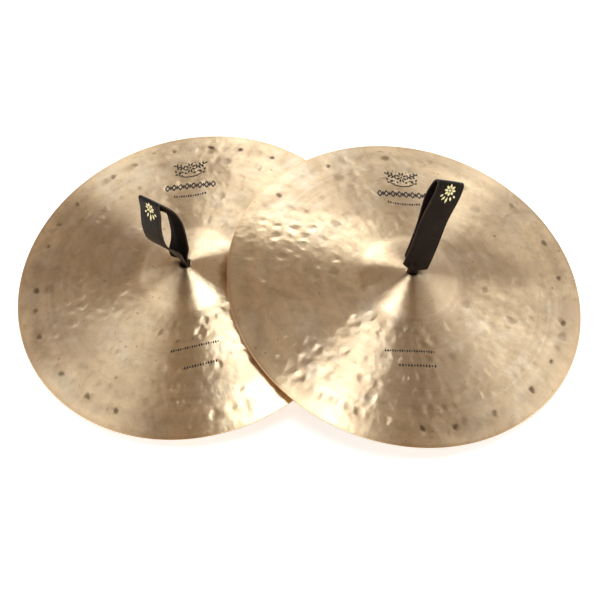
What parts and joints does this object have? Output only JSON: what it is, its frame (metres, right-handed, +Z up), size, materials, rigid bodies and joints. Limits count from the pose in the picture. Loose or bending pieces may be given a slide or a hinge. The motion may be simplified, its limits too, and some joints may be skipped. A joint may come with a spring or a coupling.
{
  "type": "hand cymbals",
  "caption": "Pair of hammered bronze orchestral hand cymbals with raised bells and black leather hand straps, one plate's rim resting over the other.",
  "frame": {"origin": "middle of the pair's bounding box, on the floor they rest on", "axes": "+X from the left cymbal to the right one, +Y away from the player's side, +Z up"},
  "size_m": [0.7252, 0.4846, 0.196],
  "materials": {
    "bronze": "lathed and hammered bronze, satin",
    "leather": "black smooth leather, soft sheen"
  },
  "bodies": {
    "left_plate": {"left_cymbal": "bronze"},
    "left_knot": {"left_strap_knot": "leather", "left_strap_tail_1": "leather", "left_strap_tail_2": "leather", "left_strap_tail_3": "leather", "left_strap_tail_4": "leather"},
    "left_loop": {"left_strap_loop": "leather"},
    "right_plate": {"right_cymbal": "bronze"},
    "right_knot": {"right_strap_knot": "leather", "right_strap_tail_1": "leather", "right_strap_tail_2": "leather", "right_strap_tail_3": "leather", "right_strap_tail_4": "leather"},
    "right_loop": {"right_strap_loop": "leather"}
  },
  "joints": [
    {"name": "left_strap_swivel", "type": "hinge", "parent": "left_plate", "child": "left_knot", "pos_m": [-0.14094, 0.01331, 0.06717], "axis": [-0.1351, -0.0106, 0.9908], "continuous": true},
    {"name": "left_strap_tilt", "type": "hinge", "parent": "left_knot", "child": "left_loop", "pos_m": [-0.14149, 0.01327, 0.07119], "axis": [0.7103, -0.6441, 0.284], "range_deg": [-75, 65]},
    {"name": "right_lift", "type": "slide", "parent": "left_plate", "child": "right_plate", "axis": [0.1661, 0.0105, 0.9861], "range_m": [0, 0.25]},
    {"name": "right_strap_swivel", "type": "hinge", "parent": "right_plate", "child": "right_knot", "pos_m": [0.14308, -0.01332, 0.07405], "axis": [0.1661, 0.0105, 0.9861], "continuous": true},
    {"name": "right_strap_tilt", "type": "hinge", "parent": "right_knot", "child": "right_loop", "pos_m": [0.14375, -0.01328, 0.07805], "axis": [0.9039, 0.1222, -0.4099], "range_deg": [-45, 85]}
  ]
}
